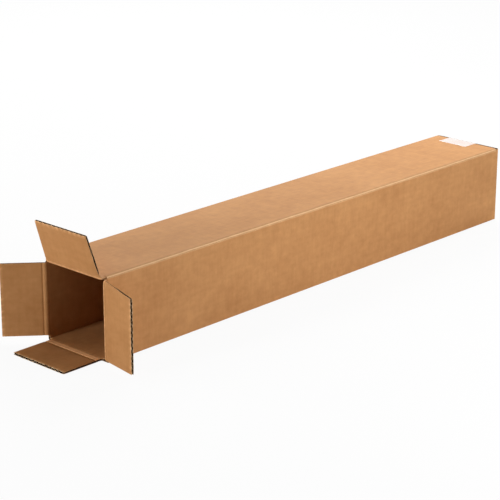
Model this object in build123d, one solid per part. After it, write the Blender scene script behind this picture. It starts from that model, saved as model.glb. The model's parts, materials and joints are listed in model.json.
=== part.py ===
"""Long square corrugated shipping carton, lying on one long side.

The far end is folded shut and taped, and the four flaps at the mouth stand open. The board is
C-flute, and its flutes run along the carton, so they show at the free edges of the flaps.

Frame, in millimetres: +X runs along the carton from the mouth to the taped end, the front wall
faces -Y, and +Z is up. The origin is the middle of the bottom panel's outer face.
"""

import os
from dataclasses import dataclass
from math import copysign, cos, hypot, radians, sin, sqrt, tan

from build123d import *

# Board
BOARD = 3.9  # thickness of the corrugated board
LINER = 0.35  # each flat facing of the board
MEDIUM = 0.25  # fluted paper between the facings
FLUTE_PITCH = 7.8
GLUE_SINK = 0.08  # how far a flute tip is pressed into the facing that it is glued to

# Carton
INSIDE_SIDE = 101.6  # 4 in, both ways across
INSIDE_LENGTH = 762.0  # 30 in
LAYER_GAP = 0.3  # between flaps folded one over the other
FLAP_MEETING_GAP = 1.4  # between two opposite flaps folded shut
LONG_FOLD_OUTER = 3.0  # radius outside the four long folds
LONG_FOLD_INNER = 0.5
END_FOLD_OUTER = 2.5  # radius outside the folds at the taped end

# Hinge creases at the mouth
CREASE_GAP = 0.15  # from the fold line to each side's mitre, measured on the outer face
CRUSH_BEYOND_MITRE = 1.5  # flattened band of board next to the crease

# Slots between neighbouring flaps: how far a flap's side edge stands inside the inner face of
# the wall beside it. Beside the glued joint it is cut at a taper, and this is at its free edge.
TOP_SLOT_FRONT = 6.6
TOP_SLOT_BACK = 6.6
BOTTOM_SLOT_FRONT = 8.6
BOTTOM_SLOT_BACK = 2.1
FRONT_SLOT_LOWER = 0.7
FRONT_SLOT_UPPER = 6.1
BACK_SLOT_LOWER = 4.1
BACK_SLOT_UPPER = 4.1
JOINT_SLOT = 0.3  # the same, at the creases beside the glued joint
TAPED_END_SLOT = 2.6  # beside the top and bottom flaps
TAPED_END_NICK = 1.2  # height of the slot cut into the front and back walls, from the outer corner
SLOT_PAST_CREASE = 2.0
SLOT_END_RADIUS = 3.2

# How far each mouth flap is folded outward from lying straight on from its wall
TOP_OPEN_DEG = 75.2
BOTTOM_OPEN_DEG = 0.0
FRONT_OPEN_DEG = 80.9
BACK_OPEN_DEG = 42.0

# Glued joint: a tab from the top panel, inside the front wall
TAB_WIDTH = 30.0
TAB_BOARD = 2.2  # the tab is crushed thinner than the board
TAB_END_CLEARANCE = 6.0
TAB_END_TAPER = 10.0
SEAM_WIDTH = 0.4  # cut edge of the front wall beside the top panel's fold
SEAM_DEPTH = 0.8

# Sealing tape
TAPE_WIDTH = 48.0
TAPE_THICKNESS = 0.08
TAPE_TOWARDS_BACK = 8.0  # middle of the tape, from the middle of the carton
TAPE_ON_PANEL = 25.5  # length stuck to the top and bottom panels

OUTSIDE_SIDE = INSIDE_SIDE + 2 * BOARD
OUTSIDE_LENGTH = INSIDE_LENGTH + 4 * BOARD + 2 * LAYER_GAP
FLAP_LENGTH = (OUTSIDE_SIDE - FLAP_MEETING_GAP) / 2
HALF_SIDE = OUTSIDE_SIDE / 2
MOUTH_OUTER_CREASE_X = -OUTSIDE_LENGTH / 2  # top and bottom flaps, which close last
MOUTH_INNER_CREASE_X = MOUTH_OUTER_CREASE_X + BOARD + LAYER_GAP  # front and back flaps
TAPED_FACE_X = OUTSIDE_LENGTH / 2
TAPED_INNER_CREASE_X = TAPED_FACE_X - BOARD - LAYER_GAP

TOWARDS_MOUTH = Vector(-1, 0, 0)
LONG_FOLDS = ((-1, 1), (1, 1), (-1, -1), (1, -1))  # signs of Y and Z from the carton's middle
OVERCUT = 1.0  # cutting tools reach this far past what they cut
THROUGH_WALL = BOARD + LAYER_GAP / 2  # depth of a tool that cuts through one wall


@dataclass
class MouthFlap:
    """One hinged flap: where it folds, how wide it is and how far it stands open."""

    name: str
    outward: Vector  # away from the carton, square to the flap's wall
    crease_x: float
    wall_middle: Vector  # middle of the wall's outer face, at x = 0
    slot_low: float  # slot at the end of lower Y, or lower Z
    slot_high: float
    open_deg: float
    joint_side: int = 0  # -1 or 1: the side edge beside the glued joint, of lower or higher Y or Z

    @property
    def across(self) -> Vector:
        """Direction of the crease, towards higher Y or Z."""
        return Vector(0, 1, 0) if abs(self.outward.Z) > 0.5 else Vector(0, 0, 1)

    def plane(self, open_deg: float) -> Plane:
        """Frame at the crease: X along the crease, Y into the board, Z towards the free edge."""
        angle = radians(open_deg)
        reach = TOWARDS_MOUTH * cos(angle) + self.outward * sin(angle)
        depth = TOWARDS_MOUTH * sin(angle) - self.outward * cos(angle)
        origin = self.wall_middle + Vector(self.crease_x, 0, 0)
        return Plane(origin=origin, x_dir=depth.cross(reach), z_dir=reach)

    def slots(self, at_crease: bool) -> tuple[float, float]:
        """Slots at the ends of lower and of higher Y or Z, at the crease or at the free edge."""
        low = JOINT_SLOT if at_crease and self.joint_side < 0 else self.slot_low
        high = JOINT_SLOT if at_crease and self.joint_side > 0 else self.slot_high
        return low, high

    def limits(self, at_crease: bool) -> tuple[float, float]:
        """Ends of the flap along its frame's X, at the crease or at the free edge."""
        slot_low, slot_high = self.slots(at_crease)
        low = -HALF_SIDE + BOARD + slot_low
        high = HALF_SIDE - BOARD - slot_high
        if self.plane(0).x_dir.dot(self.across) > 0:
            return low, high
        return -high, -low


MIDDLE_UP = Vector(0, 0, HALF_SIDE)
MOUTH_FLAPS = (
    MouthFlap("top_flap", Vector(0, 0, 1), MOUTH_OUTER_CREASE_X, MIDDLE_UP * 2,
              TOP_SLOT_FRONT, TOP_SLOT_BACK, TOP_OPEN_DEG, joint_side=-1),
    MouthFlap("bottom_flap", Vector(0, 0, -1), MOUTH_OUTER_CREASE_X, Vector(0, 0, 0),
              BOTTOM_SLOT_FRONT, BOTTOM_SLOT_BACK, BOTTOM_OPEN_DEG),
    MouthFlap("front_flap", Vector(0, -1, 0), MOUTH_INNER_CREASE_X, MIDDLE_UP + Vector(0, -HALF_SIDE, 0),
              FRONT_SLOT_LOWER, FRONT_SLOT_UPPER, FRONT_OPEN_DEG, joint_side=1),
    MouthFlap("back_flap", Vector(0, 1, 0), MOUTH_INNER_CREASE_X, MIDDLE_UP + Vector(0, HALF_SIDE, 0),
              BACK_SLOT_LOWER, BACK_SLOT_UPPER, BACK_OPEN_DEG),
)


def arc_between(centre: tuple[float, float], start: tuple[float, float], end: tuple[float, float]) -> Edge:
    """The shorter arc about centre from start to end."""
    radius = hypot(start[0] - centre[0], start[1] - centre[1])
    chord_x = (start[0] + end[0]) / 2 - centre[0]
    chord_y = (start[1] + end[1]) / 2 - centre[1]
    scale = radius / hypot(chord_x, chord_y)
    middle = (centre[0] + chord_x * scale, centre[1] + chord_y * scale)
    return ThreePointArc(start, middle, end)


def flute_channel(middle: float, facing: float, side: int) -> Face:
    """Open channel between one facing and the flute over it, in the board's section.

    Args:
        middle: where the channel's middle is along the section.
        facing: depth of the face that the channel opens on.
        side: 1 if the flute arches towards greater depth, or -1.
    """
    half_rise = BOARD / 2 - LINER - MEDIUM / 2 + GLUE_SINK
    quarter = FLUTE_PITCH / 4
    radius = (quarter**2 + half_rise**2) / (2 * half_rise)
    centre_depth = BOARD / 2
    crest = (middle, centre_depth + side * (half_rise - radius))
    shrink = (radius - MEDIUM / 2) / radius
    turn_depth = crest[1] + side * (radius - half_rise) * shrink
    foot_centre_depth = centre_depth - side * (half_rise - radius)
    drop = facing - foot_centre_depth
    foot = 2 * quarter - sqrt((radius + MEDIUM / 2) ** 2 - drop**2)
    left_turn = (middle - quarter * shrink, turn_depth)
    right_turn = (middle + quarter * shrink, turn_depth)
    left_foot = (middle - foot, facing)
    right_foot = (middle + foot, facing)
    outline = [
        Line(left_foot, right_foot),
        arc_between((middle + 2 * quarter, foot_centre_depth), right_foot, right_turn),
        arc_between(crest, right_turn, left_turn),
        arc_between((middle - 2 * quarter, foot_centre_depth), left_turn, left_foot),
    ]
    return make_face(outline)


def taper_wedge(at_crease: float, at_free_edge: float) -> Part:
    """Cutting tool for a flap's side edge, from its places along the crease and the free edge."""
    side = copysign(OVERCUT, at_crease - at_free_edge)
    outline = make_face(Polyline(
        (at_crease, 0), (at_crease + side, 0), (at_crease + side, FLAP_LENGTH + OVERCUT),
        (at_free_edge, FLAP_LENGTH + OVERCUT), (at_free_edge, FLAP_LENGTH), close=True))
    flat = Plane(origin=(0, 0, 0), x_dir=(1, 0, 0), z_dir=(0, -1, 0))
    return extrude(flat * outline, amount=BOARD + OVERCUT, both=True)


def fluted_flap(flap: MouthFlap) -> Part:
    """A flap of corrugated board: mitred and crushed at the crease, open flutes at the free edge."""
    low, high = flap.limits(at_crease=True)
    mitre_end = CREASE_GAP + BOARD
    side_view = Plane(origin=(high, 0, 0), x_dir=(0, 0, 1), z_dir=(-1, 0, 0))
    profile = make_face(Polyline(
        (CREASE_GAP, 0), (FLAP_LENGTH, 0), (FLAP_LENGTH, BOARD), (mitre_end, BOARD), close=True))
    board = extrude(side_view * profile, amount=high - low)

    crush_end = mitre_end + CRUSH_BEYOND_MITRE
    count = int((high - low) / FLUTE_PITCH) + 2
    first = (low + high) / 2 - FLUTE_PITCH * count / 2
    channels = []
    for index in range(count + 1):
        middle = first + index * FLUTE_PITCH
        if low - FLUTE_PITCH / 4 < middle < high + FLUTE_PITCH / 4:
            channels.append(flute_channel(middle, LINER, 1))
        middle += FLUTE_PITCH / 2
        if low - FLUTE_PITCH / 4 < middle < high + FLUTE_PITCH / 4:
            channels.append(flute_channel(middle, BOARD - LINER, -1))
    reach = FLAP_LENGTH - crush_end + OVERCUT
    tools = [extrude(Pos(0, 0, crush_end) * channel, amount=reach, dir=(0, 0, 1)) for channel in channels]
    for at_crease, at_free_edge in zip((low, high), flap.limits(at_crease=False)):
        if at_crease != at_free_edge:
            tools.append(taper_wedge(at_crease, at_free_edge))
    return flap.plane(flap.open_deg).location * (board - tools)


def crease_mitre(flap: MouthFlap) -> Part:
    """Cutting tool that bevels a wall's mouth end back from the flap's fold line."""
    deep = THROUGH_WALL
    before_crease = BOARD + LAYER_GAP + OVERCUT
    outline = make_face(Polyline(
        (CREASE_GAP - OVERCUT, -OVERCUT), (CREASE_GAP + deep, deep),
        (-before_crease, deep), (-before_crease, -OVERCUT), close=True))
    inward = flap.outward * -1
    along = Vector(1, 0, 0)
    section = Plane(origin=flap.plane(0).origin, x_dir=along, z_dir=along.cross(inward))
    return extrude(section * outline, amount=HALF_SIDE + OVERCUT, both=True)


def slot_half(width: float, through: Vector, fold_y: int, fold_z: int, crease_x: float, into: int) -> Part:
    """Cutting tool for the half of a slot that lies on one of the two walls beside a long fold.

    Args:
        width: of this half, from the carton's outer corner.
        through: direction in which the tool goes through the wall.
        fold_y: sign of the long fold's Y.
        fold_z: sign of its height above the carton's middle.
        crease_x: crease that the slot runs past.
        into: 1 where the carton lies towards +X of the slot, or -1.
    """
    end = into * SLOT_PAST_CREASE
    start = -into * (BOARD + LAYER_GAP + OVERCUT)
    outline = make_face(Polyline((start, -OVERCUT), (end, -OVERCUT), (end, width), (start, width), close=True))
    slot_end = outline.vertices().sort_by_distance((end, width, 0))[0]
    outline = fillet(slot_end, min(SLOT_END_RADIUS, width / 2))
    along = Vector(1, 0, 0)
    to_middle = Vector(0, -fold_y, -fold_z)
    across = to_middle - through * to_middle.dot(through)
    corner = Vector(crease_x, fold_y * HALF_SIDE, HALF_SIDE + fold_z * HALF_SIDE)
    wall = Plane(origin=corner - through * OVERCUT, x_dir=along, z_dir=along.cross(across))
    return extrude(wall * outline, amount=THROUGH_WALL + OVERCUT, dir=tuple(through))


def mouth_slots() -> list[Part]:
    """Cutting tools for the four slots at the mouth, each in two halves."""
    top, bottom, front, back = MOUTH_FLAPS
    halves = []
    for fold_y, fold_z in LONG_FOLDS:
        level = top if fold_z > 0 else bottom
        upright = back if fold_y > 0 else front
        level_width = BOARD + level.slots(at_crease=True)[fold_y > 0]
        upright_width = BOARD + upright.slots(at_crease=True)[fold_z > 0]
        for width, through in (level_width, level.outward * -1), (upright_width, upright.outward * -1):
            halves.append(slot_half(width, through, fold_y, fold_z, MOUTH_INNER_CREASE_X, 1))
    return halves


def taped_end_slots() -> list[Part]:
    """Cutting tools for the four slots at the taped end."""
    halves = []
    for fold_y, fold_z in LONG_FOLDS:
        level, upright = Vector(0, 0, -fold_z), Vector(0, -fold_y, 0)
        for width, through in (BOARD + TAPED_END_SLOT, level), (TAPED_END_NICK, upright):
            halves.append(slot_half(width, through, fold_y, fold_z, TAPED_INNER_CREASE_X, -1))
    return halves


def folded_flap(side: int, crease_x: float, upright: bool) -> Part:
    """A flap folded square across the taped end, with the stretch of wall that carries it.

    Args:
        side: 1 for the top or back flap, -1 for the bottom or front flap.
        crease_x: plane of the folded flap's outer face.
        upright: True for the front and back flaps.
    """
    wall_start = TAPED_INNER_CREASE_X - SLOT_PAST_CREASE - SLOT_END_RADIUS
    outer, inner = HALF_SIDE, HALF_SIDE - BOARD
    outline = Polyline(
        (wall_start, outer), (crease_x, outer), (crease_x, outer - FLAP_LENGTH),
        (crease_x - BOARD, outer - FLAP_LENGTH), (crease_x - BOARD, inner), (wall_start, inner), close=True)
    face = make_face(outline)
    fold = face.vertices().sort_by_distance((crease_x, outer, 0))[0]
    face = fillet(fold, END_FOLD_OUTER)
    if side < 0:
        face = mirror(face, about=Plane.XZ)
    slot = TAPED_END_NICK if upright else BOARD + TAPED_END_SLOT
    flap = extrude(face, amount=HALF_SIDE - slot, both=True)
    if upright:
        return Pos(0, 0, HALF_SIDE) * flap
    return Pos(0, 0, HALF_SIDE) * (Rot(90, 0, 0) * flap)


def joint_tab() -> Part:
    """Glued tab inside the front wall, with tapered ends."""
    start = MOUTH_INNER_CREASE_X + SLOT_PAST_CREASE + TAB_END_CLEARANCE
    end = TAPED_INNER_CREASE_X - BOARD - TAB_END_CLEARANCE
    top = OUTSIDE_SIDE - BOARD
    outline = make_face(Polyline(
        (start, top), (end, top), (end - TAB_END_TAPER, top - TAB_WIDTH),
        (start + TAB_END_TAPER, top - TAB_WIDTH), close=True))
    wall = Plane(origin=(0, -HALF_SIDE + BOARD, 0), x_dir=(1, 0, 0), z_dir=(0, -1, 0))
    return extrude(wall * outline, amount=-TAB_BOARD)


def joint_seam() -> Part:
    """Slit outside the front wall, where its cut edge meets the top panel's fold."""
    start, end = MOUTH_INNER_CREASE_X, TAPED_INNER_CREASE_X
    slit = Box(end - start, SEAM_DEPTH + OVERCUT, SEAM_WIDTH)
    middle_y = -HALF_SIDE + SEAM_DEPTH - (SEAM_DEPTH + OVERCUT) / 2
    return Pos((start + end) / 2, middle_y, OUTSIDE_SIDE - LONG_FOLD_OUTER) * slit


def tape_strip() -> Part:
    """Tape down over the taped end, from the top panel to the bottom panel."""
    cut_corner = END_FOLD_OUTER * (2 - sqrt(2))  # a 45 degree tangent leaves this much of the corner
    turn_x = TAPED_INNER_CREASE_X - cut_corner
    fall = cut_corner + TAPED_FACE_X - TAPED_INNER_CREASE_X
    end_x = TAPED_INNER_CREASE_X - TAPE_ON_PANEL
    stuck = [
        (end_x, OUTSIDE_SIDE), (turn_x, OUTSIDE_SIDE), (TAPED_FACE_X, OUTSIDE_SIDE - fall),
        (TAPED_FACE_X, fall + TAPE_THICKNESS), (turn_x, TAPE_THICKNESS), (end_x, TAPE_THICKNESS),
    ]
    mitre = TAPE_THICKNESS * tan(radians(45) / 2)
    face_x = TAPED_FACE_X + TAPE_THICKNESS
    outside = [
        (end_x, OUTSIDE_SIDE + TAPE_THICKNESS), (turn_x + mitre, OUTSIDE_SIDE + TAPE_THICKNESS),
        (face_x, OUTSIDE_SIDE - fall + mitre), (face_x, fall + TAPE_THICKNESS - mitre),
        (turn_x + mitre, 0), (end_x, 0),
    ]
    outline = make_face(Polyline(*stuck, *reversed(outside), close=True))
    middle = Plane(origin=(0, TAPE_TOWARDS_BACK, 0), x_dir=(1, 0, 0), z_dir=(0, -1, 0))
    return extrude(middle * outline, amount=TAPE_WIDTH / 2, both=True)


def carton_body(tape: Part) -> Part:
    """The four walls, the flaps folded shut at the taped end and the glued joint."""
    section = RectangleRounded(OUTSIDE_SIDE, OUTSIDE_SIDE, LONG_FOLD_OUTER)
    section -= RectangleRounded(INSIDE_SIDE, INSIDE_SIDE, LONG_FOLD_INNER)
    across = Plane(origin=(MOUTH_OUTER_CREASE_X, 0, HALF_SIDE), x_dir=(0, 1, 0), z_dir=(1, 0, 0))
    walls = extrude(across * section, amount=TAPED_INNER_CREASE_X - MOUTH_OUTER_CREASE_X)
    walls -= [crease_mitre(flap) for flap in MOUTH_FLAPS]
    for half_slot in mouth_slots() + taped_end_slots():
        walls -= half_slot
    room = Pos(0, 0, HALF_SIDE) * extrude(
        Plane.YZ * RectangleRounded(OUTSIDE_SIDE, OUTSIDE_SIDE, LONG_FOLD_OUTER), amount=OUTSIDE_LENGTH)
    walls += [folded_flap(side, TAPED_FACE_X, upright=True) & room for side in (-1, 1)]
    walls += [folded_flap(side, TAPED_INNER_CREASE_X, upright=False) for side in (-1, 1)]
    walls += joint_tab()
    walls -= joint_seam()
    return walls - tape  # the carton's weight presses the tape flush with the bottom panel


def main() -> None:
    """Write one STEP file for each piece."""
    os.makedirs("parts", exist_ok=True)
    tape = tape_strip()
    pieces = {"carton_body": carton_body(tape), "sealing_tape": tape}
    for flap in MOUTH_FLAPS:
        pieces[flap.name] = fluted_flap(flap)
    for name, piece in pieces.items():
        export_step(piece, os.path.join("parts", name + ".step"))


if __name__ == "__main__":
    main()
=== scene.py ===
"""Looks of a long square corrugated carton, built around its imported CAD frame.

Every piece of board is laid out flat in the blank's own coordinates, as a carton maker draws it:
girth (round the carton), length (along it, the frame's X) and depth (from the outer facing
inwards). The flat board is then crushed at its creases and folded into place. All sizes are metres.
"""

import json
import logging
import math
from collections.abc import Callable, Iterable, Sequence
from dataclasses import dataclass, field
from enum import Enum, IntEnum

import bmesh
import bpy
from mathutils import Matrix, Vector, noise


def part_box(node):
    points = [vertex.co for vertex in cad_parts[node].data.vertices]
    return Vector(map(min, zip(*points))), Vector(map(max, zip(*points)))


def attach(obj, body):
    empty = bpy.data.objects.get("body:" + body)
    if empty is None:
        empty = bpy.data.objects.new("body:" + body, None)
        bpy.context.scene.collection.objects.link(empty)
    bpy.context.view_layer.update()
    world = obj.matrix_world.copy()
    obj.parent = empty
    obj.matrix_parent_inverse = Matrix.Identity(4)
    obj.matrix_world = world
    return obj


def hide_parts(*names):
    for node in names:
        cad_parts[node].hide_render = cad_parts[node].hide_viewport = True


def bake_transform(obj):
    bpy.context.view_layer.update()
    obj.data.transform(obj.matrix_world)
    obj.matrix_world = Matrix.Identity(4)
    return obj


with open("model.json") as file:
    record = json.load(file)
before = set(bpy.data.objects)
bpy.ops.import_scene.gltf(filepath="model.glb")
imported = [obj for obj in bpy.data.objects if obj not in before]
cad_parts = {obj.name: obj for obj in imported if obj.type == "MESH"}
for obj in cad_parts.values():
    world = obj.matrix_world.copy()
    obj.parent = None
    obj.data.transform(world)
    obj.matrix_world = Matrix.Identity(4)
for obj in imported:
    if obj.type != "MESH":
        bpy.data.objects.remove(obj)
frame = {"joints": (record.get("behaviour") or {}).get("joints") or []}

log = logging.getLogger("carton")

MM = 0.001
IMAGE_PIXELS = 500
SENSOR_MM = 36
CARTON_BODY = "carton"
FLAP_REACH = 54 * MM  # from a crease to the flap's free edge
SAME_LINE = 0.02 * MM  # mesh lines closer together than this are one line
ROUNDING = 1e-9
HARD_EDGE = 0.9  # radians; sharper edges aren't shaded smooth
EDGE_STRIP = 1.2 * MM  # finely meshed strip beside a cut edge
EDGE_STEP = 0.4 * MM
CREASE_STRIP = 6 * MM  # finely meshed strip beside a crease

Colour = tuple[float, float, float, float]
Triple = tuple[float, float, float]
Materials = Sequence[bpy.types.Material]
WHITE: Colour = (1.0, 1.0, 1.0, 1.0)
OUTWARD = [Vector((0, -1, 0)), Vector((0, 0, -1)), Vector((0, 1, 0)), Vector((0, 0, 1))]


class Layer(IntEnum):
    """Material slots of every piece of board."""

    OUTSIDE = 0
    INSIDE = 1
    # the medium and the facings' faces in the flute hollows, darkened as painted shade
    MEDIUM = 2
    CUT = 3


class Panel(Enum):
    """The four walls in the order in which the blank goes round the carton."""

    FRONT = 0
    BOTTOM = 1
    BACK = 2
    TOP = 3

    @property
    def outward(self) -> Vector:
        """Direction out of the wall."""
        return OUTWARD[self.value]

    @property
    def across(self) -> Vector:
        """Direction of increasing girth, which is out of the next wall."""
        return OUTWARD[(self.value + 1) % len(OUTWARD)]


def smoothstep(value: float) -> float:
    """Ease from 0 to 1 as value goes from 0 to 1."""
    value = min(max(value, 0.0), 1.0)
    return value * value * (3.0 - 2.0 * value)


def bump_at(value: float, middle: float, width: float) -> float:
    """A smooth hump of height 1 at middle."""
    return math.exp(-(((value - middle) / width) ** 2))


def fading(distance: float, reach: float) -> float:
    """1 at distance 0, less and less beyond it."""
    return math.exp(-max(distance, 0.0) / reach)


@dataclass(frozen=True)
class Ripple:
    """Smooth noise over the blank."""

    height: float  # how far it goes to either side of 0
    girth: float  # waves per metre round the carton
    length: float  # and along it
    seed: float = 0.0

    def at(self, girth: float, length: float, seed: float = 0.0) -> float:
        """Its value at a flat place.

        Args:
            girth: place round the carton.
            length: place along the carton.
            seed: picks another part of the noise.
        """
        place = Vector((girth * self.girth, length * self.length, self.seed + seed))
        return self.height * noise.noise(place)


UNEVEN_PRESS = Ripple(0.22, 55, 0, 3.1)
RUBBED_WANDER = Ripple(0.3 * MM, 90, 0, 6.6)
RUBBED_PATCHES = Ripple(0.25, 60, 300, 2.4)
FLAP_PATCHES = Ripple(0.9, 210, 210)
TAPED_PATCHES = Ripple(0.8, 190, 190)
FRAY = Ripple(1.0, 420, 900)
FINE_FRAY = Ripple(0.6, 1300, 900, 5)
SIDE_FRAY = Ripple(1.0, 500, 900, 9)
BOW = Ripple(1.0, 14, 7, 1.7)
SMALL_BOW = Ripple(0.6, 34, 16, 4.2)
SEAM_WANDER = Ripple(0.22 * MM, 0, 46, 8.8)
SEAM_SHAKE = Ripple(0.10 * MM, 0, 190, 2.2)
SEAM_PATCHES = Ripple(0.8, 0, 90, 9.9)
FOLD_WANDER = Ripple(0.4 * MM, 0, 30)
FOLD_PATCHES = Ripple(0.7, 0, 120, 4)
SEAM_FOLD_WANDER = Ripple(0.35 * MM, 0, 38, 6.5)
SEAM_FOLD_PATCHES = Ripple(0.4, 0, 150, 5.1)
PUCKER = Ripple(1.0, 90, 60, 3.3)


def spread(low: float, high: float, step: float) -> list[float]:
    """Evenly spaced numbers from low to high, at most step apart, both ends included."""
    count = max(1, math.ceil((high - low) / step - ROUNDING))
    return [low + (high - low) * index / count for index in range(count + 1)]


def merged(*parts: Iterable[float]) -> list[float]:
    """Sorted numbers of all parts, without doubles."""
    kept: list[float] = []
    for value in sorted(value for part in parts for value in part):
        if not kept or value - kept[-1] > SAME_LINE:
            kept.append(value)
    return kept


def banded(bounds: Sequence[float], steps: Sequence[float]) -> list[float]:
    """Numbers spread from each bound to the next, each band with a step of its own."""
    return merged(*(spread(*band) for band in zip(bounds, bounds[1:], steps)))


def facing_girths(low: float, high: float, step: float) -> list[float]:
    """Lines from one cut edge to the other, close together beside both."""
    return banded((low, low + EDGE_STRIP, high - EDGE_STRIP, high), (EDGE_STEP, step, EDGE_STEP))


def at_free_edge(past: float) -> float:
    """1 at a flap's free edge, down to 0 a millimetre before it."""
    return smoothstep((past - FLAP_REACH + 1.0 * MM) / (1.0 * MM))


@dataclass(frozen=True)
class BoardStock:
    """Corrugated board: two flat facings with a fluted medium between them."""

    thickness: float = 3.9 * MM
    facing: float = 0.35 * MM
    medium: float = 0.36 * MM  # thicker than the real paper, so that it shows at the photo's size
    flute_pitch: float = 7.8 * MM
    tip_sink: float = 0.03 * MM  # how far the flutes' tips sink into the facings
    fullness: float = 0.12  # 0 for flutes that are sine waves

    def wave(self, girth: float) -> float:
        """The flutes' rhythm: 1 where they touch the inner facing, -1 where they touch the outer."""
        return math.sin(2 * math.pi * girth / self.flute_pitch)

    def flute(self, girth: float) -> float:
        """Depth of the medium's middle at a place round the carton."""
        rise = self.thickness / 2 - self.facing - self.medium / 2 + self.tip_sink
        wave = self.wave(girth)
        return self.thickness / 2 + rise * ((1 + self.fullness) * wave - self.fullness * wave**3)


BOARD = BoardStock()


@dataclass(frozen=True)
class CartonSizes:
    """Sizes that the whole carton shares."""

    side: float  # outside width and height
    face: float  # outer face of the taped end
    mouth: float  # outer creases at the mouth
    inner_crease: float = 4.2 * MM  # front and back creases, from the outer ones
    slot_past_crease: float = 2.0 * MM
    slot_end_radius: float = 3.2 * MM
    fold_radius: float = 3.0 * MM
    fold_inside_radius: float = 0.8 * MM
    end_fold_radius: float = 2.5 * MM
    seam_drop: float = 3.15 * MM  # cut edge of the front wall, from the top
    seam_step: float = 0.45 * MM  # the top panel's fold stands this far inside the front wall's face
    corner_plain: float = 2.6 * MM  # the creasing bar ends this far from a corner
    corner_ease: float = 2.4 * MM

    @property
    def half(self) -> float:
        """Half of the outside width."""
        return self.side / 2

    @property
    def wall_start(self) -> float:
        """Bottom of the slots at the mouth, where the walls begin."""
        return self.mouth + self.inner_crease + self.slot_past_crease

    @property
    def wall_end(self) -> float:
        """Bottom of the slots at the taped end, where the walls end."""
        return self.face - self.inner_crease - self.slot_past_crease


CARTON_LOW, CARTON_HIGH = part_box("carton_body")
SIZES = CartonSizes(side=CARTON_HIGH.z, face=CARTON_HIGH.x, mouth=CARTON_LOW.x)


def corner_fade(girth: float) -> float:
    """1 in a panel's width, down to 0 at its corners."""
    inside = girth % SIZES.side
    nearest = min(inside, SIZES.side - inside)
    return smoothstep((nearest - SIZES.corner_plain) / SIZES.corner_ease)


def rounded(along: float, inset: float, radius: float) -> tuple[float, float]:
    """Place on a face that turns square round a corner.

    Args:
        along: distance past the corner, measured on the outer face.
        inset: of the face, inside the outer one.
        radius: of the face's corner.

    Returns:
        Distance past the corner in the first panel's direction, and distance inwards from its face.
    """
    zone = inset + radius
    if along <= -zone:
        return along, inset
    if along >= zone:
        return -inset, along
    turn = (along + zone) / (2 * zone) * math.pi / 2
    return radius * math.sin(turn) - zone, zone - radius * math.cos(turn)


def corner_path(along: float, depth: float, outer: float, inner: float) -> tuple[float, float]:
    """Place of a point of board that is folded square round a rounded corner.

    Args:
        along: distance past the corner, measured on the outer face.
        depth: below the outer face.
        outer: radius of the outer face.
        inner: radius of the inner face.

    Returns:
        What rounded returns, for the point.
    """
    out_p, out_q = rounded(along, 0.0, outer)
    in_p, in_q = rounded(along, BOARD.thickness, inner)
    share = depth / BOARD.thickness
    return out_p + (in_p - out_p) * share, out_q + (in_q - out_q) * share


def crushed(depth: float, distance: float, left: float, reach: float) -> float:
    """Depth of a point of board that the cutting die has crushed beside a cut edge.

    Args:
        depth: before the cut.
        distance: from the cut edge.
        left: share of the thickness that is left at the edge.
        reach: distance over which the board recovers.
    """
    middle = BOARD.thickness / 2
    return middle + (depth - middle) * (1 - (1 - left) * fading(distance, reach))


def placed(name: str, data: bpy.types.ID) -> bpy.types.Object:
    """Link a new object with the given data to the scene."""
    made = bpy.data.objects.new(name, data)
    bpy.context.scene.collection.objects.link(made)
    return made


def solid_piece(name: str, bm: bmesh.types.BMesh, materials: Materials) -> bpy.types.Object:
    """Make an object of a bmesh, which is freed.

    Args:
        name: of the object and its mesh.
        bm: its geometry.
        materials: its slots.
    """
    mesh = bpy.data.meshes.new(name)
    bm.to_mesh(mesh)
    bm.free()
    for material in materials:
        mesh.materials.append(material)
    return placed(name, mesh)


@dataclass(frozen=True)
class Grid:
    """Places of a flat sheet's lines."""

    girths: Sequence[float]  # of the lines that run along the carton
    lengths: Sequence[float]  # of the lines that run round it


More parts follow.
